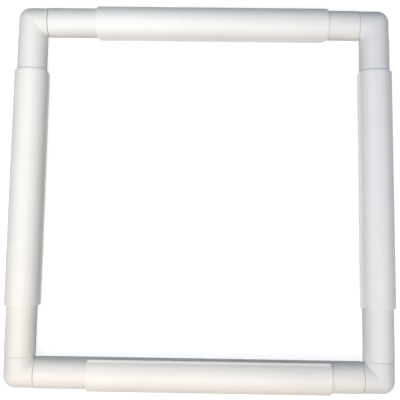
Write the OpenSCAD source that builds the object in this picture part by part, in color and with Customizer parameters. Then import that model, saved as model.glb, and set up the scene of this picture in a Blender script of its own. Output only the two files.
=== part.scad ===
// Snap frame for needlework: a square of plastic tubes and corner elbows, with a
// C-shaped clamp snapped over the front of each tube to hold the cloth.
// The frame lies on its back: +Z is the side that carries the cloth, +Y is the top rail.
// The origin is on the surface that the frame lies on, in the middle of the square.

/* [Frame] */
// Width of the frame, across the outsides of its side tubes
frame_w = 279.4; // [200:0.1:450]
// Height of the frame, across the outsides of its top and bottom tubes
frame_h = 279.4; // [200:0.1:450]

/* [Tubes] */
// Outside diameter of the tubes
tube_od = 22.225; // [18:0.005:28]
// Wall of the tubes
tube_wall = 2.03; // [1.2:0.01:2.6]
// Chamfer on the outer edge of each tube's ends
tube_chamfer = 0.25; // [0.1:0.05:0.6]

/* [Elbows] */
// How far the surface of an elbow lies below that of the tubes
elbow_step = 0.27; // [0.1:0.01:0.6]
// Straight stretch between an elbow's inside corner and its shoulders
elbow_neck = 1; // [0.2:0.1:10]
// How far the rounding of the outer corner is centred outside the crossing of the tubes' axes
corner_offset = 1.95; // [0.5:0.05:4]
// Chamfer on the outer edge of each elbow's shoulders
elbow_chamfer = 0.2; // [0.1:0.05:0.5]
// Length of the spigots that go into the tubes
spigot_len = 15; // [8:0.5:25]
// Wall of the spigots, and of the elbow's body beside its channel
spigot_wall = 2.4; // [1.5:0.1:3]
// Chamfer that leads a spigot into its tube
spigot_lead = 0.8; // [0.2:0.1:1.2]
// Radial clearance of a spigot in its tube
spigot_gap = 0.05; // [0.02:0.01:0.1]
// Gap left between an elbow's shoulder and the end of the top or bottom tube
seat_gap = 0.3; // [0.02:0.01:0.5]
// The same gap on the side tubes, which are pushed home
home_gap = 0.03; // [0.02:0.01:0.5]

/* [Clamps] */
// How much shorter a clamp is than the distance between two elbows, at each end
clamp_margin = 30.3; // [24:0.1:60]
// Wall of a clamp
clamp_wall = 1.49; // [1:0.01:2.2]
// Radial clearance of a clamp on its tube
clamp_gap = 0.05; // [0.02:0.01:0.1]
// Angle from a clamp's crown to where its lip starts to flare
flare_start = 86; // [78:0.5:90]
// Angle by which a lip turns outward
flare_angle = 18; // [10:1:30]
// Radius of the bend at the start of a lip
flare_bend_r = 4; // [2:0.1:6]
// Length of a lip's straight stretch
lip_len = 1.3; // [0.8:0.1:2]
// Radius of a lip's rounded edge
lip_edge_r = 0.6; // [0.4:0.05:0.7]
// Angle from a clamp's crown to the end of its grip on the tube
grip_angle = 98; // [96:0.5:99]
// Trim of the lips' end corners, along the clamp
trim_along = 2; // [1:0.1:6]
// Trim of the lips' end corners, across the lip
trim_across = 4; // [0.5:0.1:6]

/* [Clamps at rest] */
// Turn of the top clamp about its tube, outward from the front
turn_top = 18; // [-40:0.5:42]
// Turn of the bottom clamp about its tube, outward from the front
turn_bottom = 42; // [-40:0.5:42]
// Turn of the left clamp about its tube, outward from the front
turn_left = 5; // [-40:0.5:42]
// Turn of the right clamp about its tube, outward from the front
turn_right = 23; // [-40:0.5:42]
// Place of the top clamp's middle, to the right of the frame's middle
shift_top = 6.7; // [-10:0.1:10]
// Place of the bottom clamp's middle, to the right of the frame's middle
shift_bottom = 7.2; // [-10:0.1:10]
// Place of the left clamp's middle, above the frame's middle
shift_left = 4.7; // [-10:0.1:10]
// Place of the right clamp's middle, above the frame's middle
shift_right = 6.5; // [-10:0.1:10]

/* [Hidden] */

$fn = 96;
// Distance by which a cutting shape passes a surface that it cuts
past = 1;

tube_r = tube_od / 2;
tube_bore_r = tube_r - tube_wall;
axis_x = frame_w / 2 - tube_r;
axis_y = frame_h / 2 - tube_r;

elbow_r = tube_r - elbow_step;
elbow_leg = tube_r + elbow_neck;
spigot_r = tube_bore_r - spigot_gap;
channel_r = spigot_r - spigot_wall;

// Distance between the shoulders of the two elbows on a side
span_x = 2 * (axis_x - elbow_leg);
span_y = 2 * (axis_y - elbow_leg);
tube_len_x = span_x - 2 * seat_gap;
tube_len_y = span_y - 2 * home_gap;
clamp_len_x = span_x - 2 * clamp_margin;
clamp_len_y = span_y - 2 * clamp_margin;

clamp_in_r = tube_r + clamp_gap;
clamp_out_r = clamp_in_r + clamp_wall;

// A lip's outline is worked out beside the flare's start, with x outward from the tube's
// axis and y onward round the tube. The bend ends at one point and the straight at the next.
bend_end = [clamp_out_r + flare_bend_r * (1 - cos(flare_angle)), flare_bend_r * sin(flare_angle)];
straight_end = bend_end + lip_len * [sin(flare_angle), cos(flare_angle)];
edge_centre = straight_end - lip_edge_r * [cos(flare_angle), -sin(flare_angle)];
grip_turn = grip_angle - flare_start;
grip_end = clamp_in_r * [cos(grip_turn), sin(grip_turn)];
// The lead-in runs from the grip's end to where it touches the rounded edge.
lead = grip_end - edge_centre;
lead_angle = atan2(lead.y, lead.x) - acos(lip_edge_r / norm(lead));
lead_end = edge_centre + lip_edge_r * [cos(lead_angle), sin(lead_angle)];
// Angle by which a lip's root reaches back into the clamp's wall
root_turn = 4;

// Lowest point of the lips, with the crown up
lip_foot = -edge_centre.y * sin(flare_start) + edge_centre.x * cos(flare_start) - lip_edge_r;

// Puts its child on a rail: x along the tube, y inward, z to the front
module on_rail(turn, distance) {
    rotate([0, 0, turn]) translate([0, -distance, tube_r]) children();
}

module on_bottom_rail() on_rail(0, axis_y) children();
module on_right_rail() on_rail(90, axis_x) children();
module on_top_rail() on_rail(180, axis_y) children();
module on_left_rail() on_rail(270, axis_x) children();

// A round bar along x that starts at x = from and ends at x = to, chamfered at that end
module bar(r, from, to, chamfer = 0) {
    rotate([0, 90, 0]) {
        translate([0, 0, from]) cylinder(r = r, h = to - from - chamfer);
        translate([0, 0, to - chamfer]) cylinder(r1 = r, r2 = r - chamfer, h = chamfer);
    }
}

// A straight tube along x, with its middle at the origin
module tube(length) {
    difference() {
        union() {
            bar(tube_r, 0, length / 2, tube_chamfer);
            mirror([1, 0, 0]) bar(tube_r, 0, length / 2, tube_chamfer);
        }
        rotate([0, 90, 0]) cylinder(r = tube_bore_r, h = length + 2 * past, center = true);
    }
}

// The half of an elbow's bar that lies along x, cut at the mitre plane y = x
module mitred_leg(r, to, chamfer) {
    reach = to + past;
    intersection() {
        bar(r, -corner_offset, to, chamfer);
        translate([0, 0, -reach]) linear_extrude(2 * reach)
            polygon([[-reach, -reach], [reach, -reach], [reach, reach]]);
    }
}

// The rounded outer corner, tangent to both legs
module corner_round(r) {
    translate([-corner_offset, -corner_offset, 0]) rotate([0, 0, 180]) rotate_extrude(angle = 90)
        intersection() {
            translate([-corner_offset, 0]) circle(r);
            translate([0, -r]) square([r, 2 * r]);
        }
}

// A round bar that turns a mitred corner, with a leg along +x and a leg along +y
module bent_bar(r, to, chamfer) {
    mitred_leg(r, to, chamfer);
    mirror([1, -1, 0]) mitred_leg(r, to, chamfer);
    corner_round(r);
}

// An elbow with its axes' crossing at the origin and its legs along +x and +y
module elbow() {
    tip = elbow_leg + spigot_len;
    difference() {
        union() {
            bent_bar(elbow_r, elbow_leg, elbow_chamfer);
            bar(spigot_r, elbow_leg - past, tip, spigot_lead);
            mirror([1, -1, 0]) bar(spigot_r, elbow_leg - past, tip, spigot_lead);
        }
        bent_bar(channel_r, tip + past, 0);
    }
}

// Outline of one lip, beside the flare's start
module lip_outline() {
    root_mid = (clamp_in_r + clamp_out_r) / 2;
    root_in = clamp_in_r - past;
    difference() {
        polygon([root_in * [cos(root_turn), -sin(root_turn)], root_mid * [cos(root_turn), -sin(root_turn)],
                 [clamp_out_r, 0], bend_end, straight_end, edge_centre, lead_end, grip_end,
                 root_in * [cos(grip_turn), sin(grip_turn)]]);
        translate([clamp_out_r + flare_bend_r, 0]) circle(flare_bend_r);
    }
    translate(edge_centre) circle(lip_edge_r, $fn = 32);
}

// The part of the plane that lies beyond the flares' starts, seen across the tube
module beyond_flares() {
    far = 2 * clamp_out_r;
    polygon([[0, 0], far * [-sin(flare_start), cos(flare_start)], [-far, -far],
             [far, -far], far * [sin(flare_start), cos(flare_start)]]);
}

// One lip along z, on the -x side of a crown at +y
module lip(length) {
    linear_extrude(length, center = true) rotate(90 + flare_start) lip_outline();
}

// A clamp with square ends, along z, with its crown at +y
module clamp_blank(length) {
    difference() {
        union() {
            difference() {
                cylinder(r = clamp_out_r, h = length, center = true);
                linear_extrude(length + 2 * past, center = true) beyond_flares();
            }
            lip(length);
            mirror([1, 0, 0]) lip(length);
        }
        cylinder(r = clamp_in_r, h = length + 2 * past, center = true);
    }
}

// Cuts the end corners off both lips at the clamp's +x end
module corner_trim(length) {
    translate([length / 2, 0, lip_foot]) rotate([90, 0, 0])
        linear_extrude(4 * clamp_out_r, center = true)
            polygon([[-trim_along, 0], [0, trim_across], [past, trim_across], [past, -past],
                     [-trim_along, -past]]);
}

// A clamp along x, turned outward about its tube and with its middle at x = shift
module clamp(length, turn, shift) {
    translate([shift, 0, 0]) rotate([turn, 0, 0]) difference() {
        rotate([90, 0, 90]) clamp_blank(length);
        corner_trim(length);
        mirror([1, 0, 0]) corner_trim(length);
    }
}

module tube_top() {
    color("white") on_top_rail() tube(tube_len_x);
}

module tube_bottom() {
    color("white") on_bottom_rail() tube(tube_len_x);
}

module tube_left() {
    color("white") on_left_rail() tube(tube_len_y);
}

module tube_right() {
    color("white") on_right_rail() tube(tube_len_y);
}

module elbow_top_left() {
    color("whitesmoke") translate([-axis_x, axis_y, tube_r]) rotate([0, 0, 270]) elbow();
}

module elbow_top_right() {
    color("whitesmoke") translate([axis_x, axis_y, tube_r]) rotate([0, 0, 180]) elbow();
}

module elbow_bottom_left() {
    color("whitesmoke") translate([-axis_x, -axis_y, tube_r]) elbow();
}

module elbow_bottom_right() {
    color("whitesmoke") translate([axis_x, -axis_y, tube_r]) rotate([0, 0, 90]) elbow();
}

// The top and left rails run against the way in which a clamp's place is given.
module clamp_top() {
    color("snow") on_top_rail() clamp(clamp_len_x, turn_top, -shift_top);
}

module clamp_bottom() {
    color("snow") on_bottom_rail() clamp(clamp_len_x, turn_bottom, shift_bottom);
}

module clamp_left() {
    color("snow") on_left_rail() clamp(clamp_len_y, turn_left, -shift_left);
}

module clamp_right() {
    color("snow") on_right_rail() clamp(clamp_len_y, turn_right, shift_right);
}

tube_top();
tube_bottom();
tube_left();
tube_right();
elbow_top_left();
elbow_top_right();
elbow_bottom_left();
elbow_bottom_right();
clamp_top();
clamp_bottom();
clamp_left();
clamp_right();
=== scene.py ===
import math

import bmesh
import bpy
from mathutils import Matrix, Vector


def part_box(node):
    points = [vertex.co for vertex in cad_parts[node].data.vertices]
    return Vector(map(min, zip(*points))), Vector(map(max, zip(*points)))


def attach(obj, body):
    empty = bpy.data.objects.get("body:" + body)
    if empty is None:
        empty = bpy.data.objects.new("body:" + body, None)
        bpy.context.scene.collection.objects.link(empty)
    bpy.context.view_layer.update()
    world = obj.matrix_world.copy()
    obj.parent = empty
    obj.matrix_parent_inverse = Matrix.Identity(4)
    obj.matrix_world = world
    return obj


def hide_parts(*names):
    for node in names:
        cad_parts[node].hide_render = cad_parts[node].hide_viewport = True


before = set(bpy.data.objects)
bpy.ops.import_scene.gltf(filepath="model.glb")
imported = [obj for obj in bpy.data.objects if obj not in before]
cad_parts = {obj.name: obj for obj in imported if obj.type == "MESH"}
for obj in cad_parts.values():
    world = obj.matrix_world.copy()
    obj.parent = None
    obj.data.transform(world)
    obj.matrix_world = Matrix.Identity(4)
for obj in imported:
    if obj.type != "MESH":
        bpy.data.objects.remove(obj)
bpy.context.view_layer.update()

# Sizes in metres, as in the part's source

MM = 0.001
TUBE_WALL = 2.03 * MM
ELBOW_STEP = 0.27 * MM
ELBOW_NECK = 1.0 * MM
CORNER_OFFSET = 1.95 * MM
SPIGOT_LEN = 15 * MM
SPIGOT_WALL = 2.4 * MM
SPIGOT_LEAD = 0.8 * MM
FIT_GAP = 0.05 * MM
CLAMP_WALL = 1.49 * MM
FLARE_BEND_R = 4 * MM
LIP_EDGE_R = 0.6 * MM
# Degrees from a clamp's crown to the start of its flare, and to the end of its grip on the tube
FLARE_START = 86
GRIP_ANGLE = 98

# Rounding of the edges that the source leaves sharp or chamfers
SHOULDER_EDGE = 0.3 * MM
CHANNEL_EDGE = 0.3 * MM
CREASE_R = 0.4 * MM
CLAMP_EDGE = 0.14 * MM
EDGE_STEPS = 4
# Distance from a rounded edge to the row of vertices that keeps the long faces' shading flat
SUPPORT = 0.35 * MM
# Faces that meet at more degrees than this get a sharp edge
SHARP_ANGLE = 38

# Parting line of an elbow: its rise, and in degrees half its width and the clear space beside it
SEAM_RISE = 0.05 * MM
SEAM_HALF = 0.7
SEAM_CLEAR = 2.5 * SEAM_HALF

# Turn of each rail about +Z, and of each clamp about its tube, outward from the front, in degrees
RAIL_TURN = {"bottom": 0, "right": 90, "top": 180, "left": 270}
CLAMP_TURN = {"bottom": 42, "right": 23, "top": 18, "left": 5}
CORNER_TURN = {"bottom_left": 0, "bottom_right": 90, "top_right": 180, "top_left": 270}

# What the photo shows of each tube and clamp, for its -x end and its +x end in its rail's own frame
# Each tube end: rounding of its edge, and how far it stays back from the shoulder, in millimetres
TUBE_ENDS = {"bottom": ((0.3, 0), (0.25, 0)), "right": ((0.3, 0.12), (0.25, 0)),
             "top": ((0.2, -0.05), (0.4, 0.15)), "left": ((0.25, 0), (0.3, 0.07))}
# Each clamp's lips, inner and outer: flare in degrees, and straight stretch in millimetres
CLAMP_LIPS = {"bottom": ((13, 1.3), (13, 1.3)), "right": ((24, 1.3), (24, 1.3)),
              "top": ((5, 3.8), (24, 1.3)), "left": ((17, 1.3), (17, 1.3))}
# Each clamp end: trim of its corners along the inner and the outer lip, and across both, in millimetres
CLAMP_TRIMS = {"bottom": ((1.3, 1.6, 3), (0.9, 1.2, 3)), "right": ((0.8, 0.8, 3), (2.2, 1.6, 4)),
               "top": ((4.5, 0.3, 4.5), (3.4, 0.8, 4)), "left": ((3, 1.6, 4), (1, 1, 3))}
UNTRIMMED = (0, 0, 1)
# Above 1, the trimmed corners are rounded
TRIM_POWER = 1.4

lo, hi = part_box("tube_top")
TUBE_R = (hi.z - lo.z) / 2
BORE_R = TUBE_R - TUBE_WALL
ELBOW_R = TUBE_R - ELBOW_STEP
SPIGOT_R = BORE_R - FIT_GAP
CHANNEL_R = SPIGOT_R - SPIGOT_WALL
CLAMP_IN_R = TUBE_R + FIT_GAP
CLAMP_OUT_R = CLAMP_IN_R + CLAMP_WALL
# From the crossing of an elbow's axes to its shoulder, and to the end of its spigot
LEG = TUBE_R + ELBOW_NECK
TIP = LEG + SPIGOT_LEN


# Shape helpers

def quarter(radius, start, end, steps):
    """Offsets along an arc, from start to end in degrees."""
    turns = [math.radians(start + (end - start) * k / steps) for k in range(steps + 1)]
    return [(radius * math.cos(a), radius * math.sin(a)) for a in turns]


def loft(rings):
    """One closed surface through successive rings, where the last ring meets the first."""
    count = len(rings[0])
    faces = []
    for i in range(len(rings)):
        a, b = i * count, (i + 1) % len(rings) * count
        faces += [(a + k, a + (k + 1) % count, b + (k + 1) % count, b + k) for k in range(count)]
    return [p for ring in rings for p in ring], faces


def make_piece(name, verts, faces, place, node, slot, material):
    """A piece that stands for a CAD node: it rides on the node's body and has its mesh in place."""
    mesh = bpy.data.meshes.new(name)
    mesh.from_pydata([place @ Vector(p) for p in verts], [], faces)
    work = bmesh.new()
    work.from_mesh(mesh)
    bmesh.ops.recalc_face_normals(work, faces=work.faces)
    work.to_mesh(mesh)
    work.free()
    mesh.shade_smooth()
    mesh.set_sharp_from_angle(angle=math.radians(SHARP_ANGLE))
    mesh.materials.append(material)
    piece = bpy.data.objects.new(name, mesh)
    bpy.context.scene.collection.objects.link(piece)
    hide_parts(node)
    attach(piece, node)


def rail_place(side):
    """From a rail's own frame, with x along the tube, y inward and z to the front, to the row frame."""
    low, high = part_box("tube_" + side)
    return Matrix.Translation((low + high) / 2) @ Matrix.Rotation(math.radians(RAIL_TURN[side]), 4, "Z")


def long_size(node, axis):
    """A node's size along the axis of its tube."""
    low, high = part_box(node)
    return (high - low)[axis]


# Tubes

def tube_rim(half, edge_mm, back_mm):
    """Profile of a tube's end, from the outside to the bore, as (distance along, radius)."""
    end = half - back_mm * MM
    edge = edge_mm * MM
    rim = [(end - SUPPORT - edge, TUBE_R)]
    rim += [(end - edge + dx, TUBE_R - edge + dr) for dx, dr in reversed(quarter(edge, 0, 90, EDGE_STEPS))]
    return rim + [(end, BORE_R + 0.5 * edge), (end - 0.5 * edge, BORE_R), (end - SUPPORT, BORE_R)]


def tube_mesh(length, ends, segments=128):
    """A tube along x, bored through."""
    near, far = (tube_rim(length / 2, *end) for end in ends)
    profile = far + [(-x, r) for x, r in reversed(near)]
    turns = [math.tau * k / segments for k in range(segments)]
    return loft([[(x, r * math.cos(a), r * math.sin(a)) for a in turns] for x, r in profile])


# Elbows

def from_seam(turn):
    """Degrees from a point of an elbow's section to the nearer parting line, at 0 or 180."""
    return min(abs((turn - line + 180) % 360 - 180) for line in (0, 180))


def on_seam(turn):
    """1 on the parting line, 0 away from it."""
    return max(0.0, 1 - from_seam(turn) / (2 * SEAM_HALF))


def elbow_turns(segments=112):
    """Angles round an elbow's section, closer together at the parting line in the axes' plane."""
    even = [360 * k / segments for k in range(segments)]
    near = [a for a in even if from_seam(a) > SEAM_CLEAR]
    steps = (-2 * SEAM_HALF, -SEAM_HALF, 0, SEAM_HALF, 2 * SEAM_HALF)
    fine = [(line + step) % 360 for line in (0, 180) for step in steps]
    return sorted(near + fine)


def bend_rows(radius, turns, seam, steps=20):
    """Rings through an elbow's corner: inside, the two legs meet in a mitre; outside, in an arc."""
    def across(turn):
        r = radius + seam * on_seam(turn)
        return r * math.cos(math.radians(turn)), r * math.sin(math.radians(turn))

    rows = []
    for k in range(-1, steps + 2):
        ring = []
        for turn in turns:
            inward, z = across(turn)
            bend = math.hypot(max(0.0, -inward - CORNER_OFFSET), CREASE_R)
            centre = inward + bend
            if k in (-1, steps + 1):
                away = centre + SUPPORT
                ring.append((away, inward, z) if k < 0 else (inward, away, z))
            else:
                a = math.radians(90 * k / steps)
                ring.append((centre - bend * math.sin(a), centre - bend * math.cos(a), z))
        rows.append(ring)
    return rows


def leg_rows(stations, turns, seam):
    """Rings round the leg along +x, from (distance, radius) stations."""
    rows = []
    for distance, radius in stations:
        on_body = seam if radius > SPIGOT_R + SUPPORT and distance < LEG - SHOULDER_EDGE / 2 else 0
        rings = [(radius + on_body * on_seam(t), math.radians(t)) for t in turns]
        rows.append([(distance, r * math.cos(a), r * math.sin(a)) for r, a in rings])
    return rows


def swap(rows):
    """The same rows on the leg along +y, in the order that goes on round the bend."""
    return [[(y, x, z) for x, y, z in ring] for ring in reversed(rows)]


def elbow_mesh():
    """A hollow elbow with its axes along +x and +y, and a spigot at the end of each leg."""
    turns = elbow_turns()
    outside = [(TIP, CHANNEL_R + CHANNEL_EDGE), (TIP, SPIGOT_R - SPIGOT_LEAD),
               (TIP - SPIGOT_LEAD, SPIGOT_R), (TIP - SPIGOT_LEAD - SUPPORT, SPIGOT_R),
               (LEG + SUPPORT, SPIGOT_R), (LEG, SPIGOT_R)]
    outside += [(LEG - SHOULDER_EDGE + dx, ELBOW_R - SHOULDER_EDGE + dr)
                for dx, dr in quarter(SHOULDER_EDGE, 0, 90, EDGE_STEPS)]
    inside = [(TIP - CHANNEL_EDGE - SUPPORT, CHANNEL_R), (TIP - CHANNEL_EDGE, CHANNEL_R)]
    skin = leg_rows(outside, turns, SEAM_RISE)
    wall = leg_rows(inside, turns, 0)
    rows = skin + bend_rows(ELBOW_R, turns, SEAM_RISE) + swap(skin)
    rows += swap(wall) + list(reversed(bend_rows(CHANNEL_R, turns, 0))) + wall
    return loft(rows)


# Clamps

def onward(turn, out, on):
    """A point beside the angle turn from the crown: out from the tube's axis, on round the tube."""
    a = math.radians(turn)
    return (out * math.sin(a) + on * math.cos(a), out * math.cos(a) - on * math.sin(a))


def mirrored(points):
    """The same points on the other side of the clamp's middle plane."""
    return [(-y, z) for y, z in points]


def resample(points, steps):
    """The same polyline with evenly spaced points."""
    lengths = [0.0]
    for p, q in zip(points, points[1:]):
        lengths.append(lengths[-1] + math.dist(p, q))
    out, k = [], 0
    for i in range(steps + 1):
        want = lengths[-1] * i / steps
        while k < len(points) - 2 and lengths[k + 1] < want:
            k += 1
        share = (want - lengths[k]) / (lengths[k + 1] - lengths[k])
        out.append(tuple(a + share * (b - a) for a, b in zip(points[k], points[k + 1])))
    return out


def clamp_outline(flare, lip_len, trim_across, crown_steps=30, lip_steps=44, bend_steps=16, edge_steps=24):
    """One side of a clamp's section, outside and inside, from the crown to the lip's edge."""
    f = math.radians(flare)
    bend_end = (CLAMP_OUT_R + FLARE_BEND_R * (1 - math.cos(f)), FLARE_BEND_R * math.sin(f))
    straight_end = (bend_end[0] + lip_len * math.sin(f), bend_end[1] + lip_len * math.cos(f))
    centre = (straight_end[0] - LIP_EDGE_R * math.cos(f), straight_end[1] + LIP_EDGE_R * math.sin(f))
    grip = math.radians(GRIP_ANGLE - FLARE_START)
    lead = (CLAMP_IN_R * math.cos(grip) - centre[0], CLAMP_IN_R * math.sin(grip) - centre[1])
    lead_angle = math.degrees(math.atan2(lead[1], lead[0]) - math.acos(LIP_EDGE_R / math.hypot(*lead))) % 360
    edge_mid = (lead_angle - flare) / 2
    foot = onward(FLARE_START, centre[0], centre[1])[1] - LIP_EDGE_R
    cut = foot + trim_across

    def arc(radius, start, end, steps):
        return [onward(start + (end - start) * k / steps, radius, 0) for k in range(steps + 1)]

    def edge(start, end):
        return [onward(FLARE_START, centre[0] + dx, centre[1] + dy)
                for dx, dy in quarter(LIP_EDGE_R, start, end, edge_steps)]

    out_turn = math.degrees(math.acos(cut / CLAMP_OUT_R))
    in_turn = math.degrees(math.acos(cut / CLAMP_IN_R))
    bend = [onward(FLARE_START, CLAMP_OUT_R + FLARE_BEND_R - dx, dy)
            for dx, dy in quarter(FLARE_BEND_R, 0, flare, bend_steps)]
    outer_lip = arc(CLAMP_OUT_R, out_turn, FLARE_START, bend_steps) + bend + edge(-flare, edge_mid)
    inner_lip = arc(CLAMP_IN_R, in_turn, GRIP_ANGLE, edge_steps) + list(reversed(edge(edge_mid, lead_angle)))
    outer = arc(CLAMP_OUT_R, 0, out_turn, crown_steps)[:-1] + resample(outer_lip, lip_steps)
    inner = arc(CLAMP_IN_R, 0, in_turn, crown_steps)[:-1] + resample(inner_lip, lip_steps)
    return outer, inner, foot


def clamp_mesh(length, lips, trims):
    """A clamp along x: its inner lip, towards the frame's window, is at +y."""
    reach = max(across for _, _, across in trims) * MM
    sections = [clamp_outline(flare, straight * MM, reach) for flare, straight in lips]
    (outer, inner, foot), (outer_2, inner_2, foot_2) = sections
    # Round the section: from the outer lip's edge over the crown, and back along the inside
    outline = list(reversed(mirrored(outer_2))) + outer[1:]
    outline += list(reversed(inner[:-1])) + mirrored(inner_2)[1:-1]
    count = len(outline)
    normals = []
    for k in range(count):
        (y0, z0), (y1, z1) = outline[k - 1], outline[(k + 1) % count]
        run = math.hypot(y1 - y0, z1 - z0)
        normals.append(((z0 - z1) / run, (y1 - y0) / run))

    def ring(back, inset, trim):
        """Points at a distance back from the end, which is trimmed towards the lips."""
        points = []
        for (y, z), (ny, nz) in zip(outline, normals):
            along, low = (trim[0], foot) if y > 0 else (trim[1], foot_2)
            cut = along * MM * max(0.0, 1 - (z - low) / (trim[2] * MM)) ** TRIM_POWER
            points.append((length / 2 - back - cut, y - inset * ny, z - inset * nz))
        return points

    def end(trim):
        """Rings from the clamp's even middle to its end."""
        rows = [ring(max(trim) * MM + 4 * SUPPORT, 0, UNTRIMMED), ring(CLAMP_EDGE + SUPPORT, 0, trim)]
        return rows + [ring(CLAMP_EDGE - dx, CLAMP_EDGE - dy, trim)
                       for dx, dy in reversed(quarter(CLAMP_EDGE, 0, 90, EDGE_STEPS))]

    near, far = (end(trim) for trim in trims)
    rings = [[(-x, y, z) for x, y, z in r] for r in reversed(near)] + far
    verts, faces = loft(rings)
    # The clamp is open at its ends: the faces that would join the last ring to the first go
    faces = faces[:-count]
    # Each end's face joins the outside of the section to its inside
    half_count = count // 2
    for base in (0, (len(rings) - 1) * count):
        faces.append((base, base + 1, base + count - 1))
        faces += [(base + k, base + k + 1, base + count - k - 1, base + count - k)
                  for k in range(1, half_count - 1)]
        faces.append((base + half_count - 1, base + half_count, base + half_count + 1))
    return verts, faces


# Materials

# Each kind of piece: lit colour, shaded colour, roughness, strength of the drawing lines and of the grain
TUBE_FINISH = ((0.83, 0.83, 0.82), (0.80, 0.80, 0.785), 0.42, 0.12, 0.06)
CLAMP_FINISH = ((0.86, 0.86, 0.85), (0.83, 0.83, 0.815), 0.38, 0.14, 0.06)
ELBOW_FINISH = ((0.82, 0.82, 0.805), (0.79, 0.79, 0.775), 0.45, 0, 0.1)
# Painted light: the whites differ a little from side to side, each tinted for the light on its side, the
# right darker and bluer, the top lighter, the bottom and left warmer
SIDE_LIGHT_TINTS = {"bottom": (1.005, 0.995, 0.985), "right": (0.965, 0.975, 1.01),
         "top": (1.025, 1.025, 1.025), "left": (1, 0.995, 0.985)}
PLASTIC_IOR = 1.5
PLASTIC_SPECULAR = 0.3

# Noise scales per metre; drawing lines change slowly along the piece
DRIFT_SCALE = 28
SCUFF_SCALE = 260
GRAIN_SCALE = 2600
LINE_SCALE = 1100
LINE_SCALE_ALONG = 9
# Where in the noise the drift and the scuffs start and end
DRIFT_SPAN = (0.32, 0.68)
SCUFF_SPAN = (0.4, 0.75)
# How much smoother and rougher than its roughness the scuffs make a piece
SCUFF_SMOOTHER = 0.04
SCUFF_ROUGHER = 0.12
GRAIN_DEPTH = 0.02 * MM
LINE_DEPTH = 0.03 * MM


def with_side_light(colour, side):
    """A colour as it is on one side of the frame, with that side's painted light."""
    return tuple(value * share for value, share in zip(colour, SIDE_LIGHT_TINTS[side]))


def plastic(name, finish, side, along=None):
    """White plastic: a slow drift of tone, a fine grain, and drawing lines where it was extruded."""
    colour, shade, roughness, lines, grain = finish
    material = bpy.data.materials.new(name)
    material.use_nodes = True
    nodes, links = material.node_tree.nodes, material.node_tree.links
    shader = nodes["Principled BSDF"]
    place = nodes.new("ShaderNodeTexCoord").outputs["Object"]

    def noise(scale, detail, rough=0.5, distortion=0.0):
        mapping, texture = nodes.new("ShaderNodeMapping"), nodes.new("ShaderNodeTexNoise")
        mapping.inputs["Scale"].default_value = scale
        texture.inputs["Scale"].default_value = 1
        texture.inputs["Detail"].default_value = detail
        texture.inputs["Roughness"].default_value = rough
        texture.inputs["Distortion"].default_value = distortion
        links.new(place, mapping.inputs["Vector"])
        links.new(mapping.outputs["Vector"], texture.inputs["Vector"])
        return texture.outputs["Fac"]

    def ramp(source, span, colours):
        node = nodes.new("ShaderNodeValToRGB")
        for element, position, value in zip(node.color_ramp.elements, span, colours):
            element.position = position
            element.color = (*value, 1)
        links.new(source, node.inputs["Fac"])
        return node.outputs["Color"]

    def bump(height, strength, distance, before=None):
        node = nodes.new("ShaderNodeBump")
        node.inputs["Strength"].default_value = strength
        node.inputs["Distance"].default_value = distance
        links.new(height, node.inputs["Height"])
        if before:
            links.new(before, node.inputs["Normal"])
        return node.outputs["Normal"]

    drift = noise((DRIFT_SCALE,) * 3, 3)
    # Both tones carry the painted light of the piece's side
    tones = (with_side_light(shade, side), with_side_light(colour, side))
    links.new(ramp(drift, DRIFT_SPAN, tones), shader.inputs["Base Color"])
    scuffs = noise((SCUFF_SCALE,) * 3, 6, 0.62, 0.4)
    levels = [(level,) * 3 for level in (roughness - SCUFF_SMOOTHER, roughness + SCUFF_ROUGHER)]
    links.new(ramp(scuffs, SCUFF_SPAN, levels), shader.inputs["Roughness"])
    normal = bump(noise((GRAIN_SCALE,) * 3, 3), grain, GRAIN_DEPTH)
    if along is not None:
        scale = [LINE_SCALE] * 3
        scale[along] = LINE_SCALE_ALONG
        normal = bump(noise(scale, 4, 0.65), lines, LINE_DEPTH, normal)
    links.new(normal, shader.inputs["Normal"])
    shader.inputs["IOR"].default_value = PLASTIC_IOR
    shader.inputs["Specular IOR Level"].default_value = PLASTIC_SPECULAR
    return material


# The pieces

for side in RAIL_TURN:
    axis = 0 if side in ("top", "bottom") else 1
    place = rail_place(side)
    node = "tube_" + side
    material = plastic(side + "_tube_plastic", TUBE_FINISH, side, axis)
    mesh = tube_mesh(long_size(node, axis), TUBE_ENDS[side])
    make_piece(side + "_tube", *mesh, place, node, "tube_plastic", material)

    node = "clamp_" + side
    low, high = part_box(node)
    middle = (place.inverted() @ ((low + high) / 2)).x
    turn = Matrix.Rotation(math.radians(CLAMP_TURN[side]), 4, "X")
    turned = place @ Matrix.Translation((middle, 0, 0)) @ turn
    material = plastic(side + "_clamp_plastic", CLAMP_FINISH, side, axis)
    mesh = clamp_mesh(long_size(node, axis), CLAMP_LIPS[side], CLAMP_TRIMS[side])
    make_piece(side + "_clamp", *mesh, turned, node, "clamp_plastic", material)

side_x = abs(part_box("tube_left")[0].x) - TUBE_R
side_y = abs(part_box("tube_bottom")[0].y) - TUBE_R
for corner, turn in CORNER_TURN.items():
    x = side_x if "right" in corner else -side_x
    y = side_y if "top" in corner else -side_y
    place = Matrix.Translation((x, y, TUBE_R)) @ Matrix.Rotation(math.radians(turn), 4, "Z")
    # An elbow has the white of the left or the right side, with that side's painted light
    material = plastic(corner + "_elbow_plastic", ELBOW_FINISH, corner.split("_")[1])
    make_piece(corner + "_elbow", *elbow_mesh(), place, "elbow_" + corner, "elbow_plastic", material)

# Camera, fitted to the photograph

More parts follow.
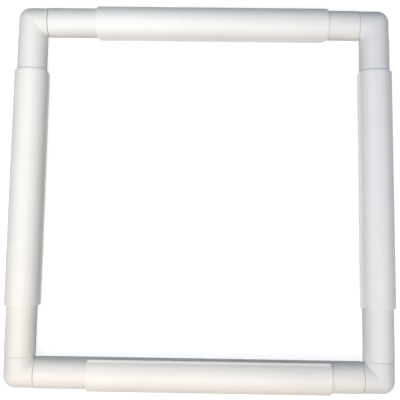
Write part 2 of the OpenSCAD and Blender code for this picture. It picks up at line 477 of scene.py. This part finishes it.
CAMERA_PLACE = (0.004871, -0.017767, 0.481347)
CAMERA_TURN = (6.15797, 0.64379, 0.80625)
camera_data = bpy.data.cameras.new("camera")
camera_data.sensor_width = 36
camera_data.lens = 57.391
camera_data.shift_y = -0.125
camera_data.clip_start = 0.01
camera_data.clip_end = 20
camera = bpy.data.objects.new("camera", camera_data)
bpy.context.scene.collection.objects.link(camera)
camera.location = CAMERA_PLACE
camera.rotation_euler = [math.radians(a) for a in CAMERA_TURN]
bpy.context.scene.camera = camera

# Lamps: azimuth and elevation as seen from the frame's middle, distance, size, power and colour

LAMPS = [
    ("right_fill", 0, 35, 1.0, 0.5, 1.01, (0.55, 0.786, 1)),
    ("left_fill", 210, 35, 1.0, 0.5, 1.39, (0.78, 0.75, 1)),
    ("low_right", 330, 35, 1.0, 0.5, 1.72, (1, 0.815, 0.51)),
    ("key", 270, 65, 1.0, 0.6, 4.19, (1, 0.962, 0.918)),
    ("near_left", 180, 55, 0.55, 0.35, 0.21, (0.702, 0.944, 1)),
    ("near_low_left", 225, 50, 0.6, 0.35, 0.86, (1, 0.818, 0.575)),
    ("near_right", 0, 55, 0.55, 0.35, 0.18, (0.1, 0.2, 1)),
    ("near_corner", 128, 62, 0.42, 0.25, 0.57, (0.876, 0.965, 1)),
]
for name, azimuth, elevation, distance, size, power, colour in LAMPS:
    data = bpy.data.lights.new(name, "AREA")
    data.shape = "DISK"
    data.size = size
    data.energy = power
    data.color = colour
    lamp = bpy.data.objects.new(name, data)
    a, e = math.radians(azimuth), math.radians(elevation)
    out = Vector((math.cos(e) * math.cos(a), math.cos(e) * math.sin(a), math.sin(e)))
    lamp.location = out * distance
    lamp.rotation_mode = "QUATERNION"
    lamp.rotation_quaternion = out.to_track_quat("Z", "Y")
    bpy.context.scene.collection.objects.link(lamp)

# White surroundings as the camera and the reflections see them, a faint light otherwise

AMBIENT = 0.01


def by_ray(nodes, links, otherwise, seen):
    """One value for rays that show the surroundings, and another for rays that only light the object."""
    path = nodes.new("ShaderNodeLightPath")
    kind = path.outputs["Is Camera Ray"]
    for name in ("Is Glossy Ray", "Is Transmission Ray"):
        either = nodes.new("ShaderNodeMath")
        either.operation = "MAXIMUM"
        links.new(kind, either.inputs[0])
        links.new(path.outputs[name], either.inputs[1])
        kind = either.outputs["Value"]
    choice = nodes.new("ShaderNodeMapRange")
    choice.inputs["To Min"].default_value = otherwise
    if isinstance(seen, bpy.types.NodeSocket):
        links.new(seen, choice.inputs["To Max"])
    else:
        choice.inputs["To Max"].default_value = seen
    links.new(kind, choice.inputs["Value"])
    return choice.outputs["Result"]


world = bpy.data.worlds.new("world")
bpy.context.scene.world = world
world.use_nodes = True
nodes, links = world.node_tree.nodes, world.node_tree.links
links.new(by_ray(nodes, links, AMBIENT, 1), nodes["Background"].inputs["Strength"])
nodes["Background"].inputs["Color"].default_value = (1, 1, 1, 1)

# Pale floor: a little darker in the object's shadow, pure white further away, clear from below

FLOOR_REACH = 4.0
FLOOR_MATT = 0.45
# The floor's own glow near the object, and the distances in metres over which it turns white
FLOOR_GLOW = 0.82
GLOW_NEAR = 0.3
GLOW_FAR = 1.2

floor_mesh = bpy.data.meshes.new("floor")
corners = [(x * FLOOR_REACH, y * FLOOR_REACH, 0) for x, y in ((-1, -1), (1, -1), (1, 1), (-1, 1))]
floor_mesh.from_pydata(corners, [], [(0, 1, 2, 3)])
floor = bpy.data.objects.new("floor", floor_mesh)
bpy.context.scene.collection.objects.link(floor)
floor_material = bpy.data.materials.new("floor")
floor_mesh.materials.append(floor_material)
floor_material.use_nodes = True
nodes, links = floor_material.node_tree.nodes, floor_material.node_tree.links
nodes.clear()
output = nodes.new("ShaderNodeOutputMaterial")
away = nodes.new("ShaderNodeVectorMath")
away.operation = "LENGTH"
links.new(nodes.new("ShaderNodeTexCoord").outputs["Object"], away.inputs[0])
paleness = nodes.new("ShaderNodeMapRange")
for name, value in (("From Min", GLOW_NEAR), ("From Max", GLOW_FAR), ("To Min", FLOOR_GLOW), ("To Max", 1)):
    paleness.inputs[name].default_value = value
links.new(away.outputs["Value"], paleness.inputs["Value"])
glow = nodes.new("ShaderNodeEmission")
links.new(by_ray(nodes, links, 0, paleness.outputs["Result"]), glow.inputs["Strength"])
matt = nodes.new("ShaderNodeBsdfDiffuse")
links.new(by_ray(nodes, links, 0, FLOOR_MATT), matt.inputs["Color"])
both = nodes.new("ShaderNodeAddShader")
links.new(glow.outputs["Emission"], both.inputs[0])
links.new(matt.outputs["BSDF"], both.inputs[1])
clear = nodes.new("ShaderNodeBsdfTransparent")
sides = nodes.new("ShaderNodeMixShader")
links.new(nodes.new("ShaderNodeNewGeometry").outputs["Backfacing"], sides.inputs["Fac"])
links.new(both.outputs["Shader"], sides.inputs[1])
links.new(clear.outputs["BSDF"], sides.inputs[2])
links.new(sides.outputs["Shader"], output.inputs["Surface"])

bpy.context.scene.view_settings.view_transform = "Standard"
